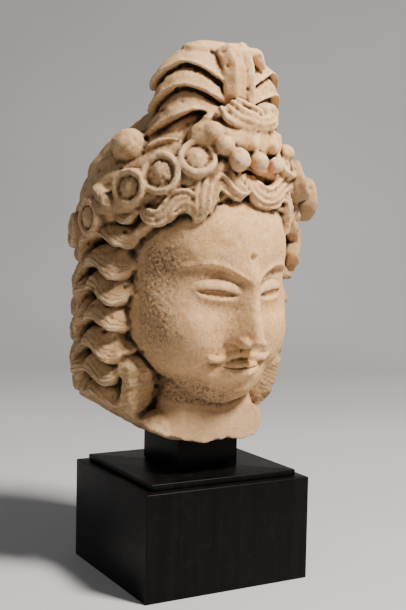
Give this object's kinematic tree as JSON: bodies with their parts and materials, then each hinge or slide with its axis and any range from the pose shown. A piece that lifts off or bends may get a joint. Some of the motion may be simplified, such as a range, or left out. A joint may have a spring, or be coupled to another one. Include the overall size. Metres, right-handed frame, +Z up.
{
  "type": "stucco bodhisattva head on a wooden stand",
  "caption": "Life-size stucco head of a bodhisattva with wavy hair, a band of rosettes and pearls and a fan-shaped topknot, broken off at the neck, on a black wooden stand.",
  "frame": {"origin": "middle of the stand's underside", "axes": "+Z up, the head looks towards -Y and is turned a little towards +X and bowed, +X to the head's left"},
  "size_m": [0.2358, 0.2423, 0.5147],
  "materials": {
    "stucco": "matt warm buff lime stucco with brown dirt in the hollows, chalky highlights and a granular crust",
    "black_wood": "satin ebonised wood with a faint upright grain"
  },
  "bodies": {
    "root": {"head": "stucco", "stand_block": "black_wood", "stand_plate": "black_wood", "stand_post": "black_wood"}
  },
  "joints": []
}
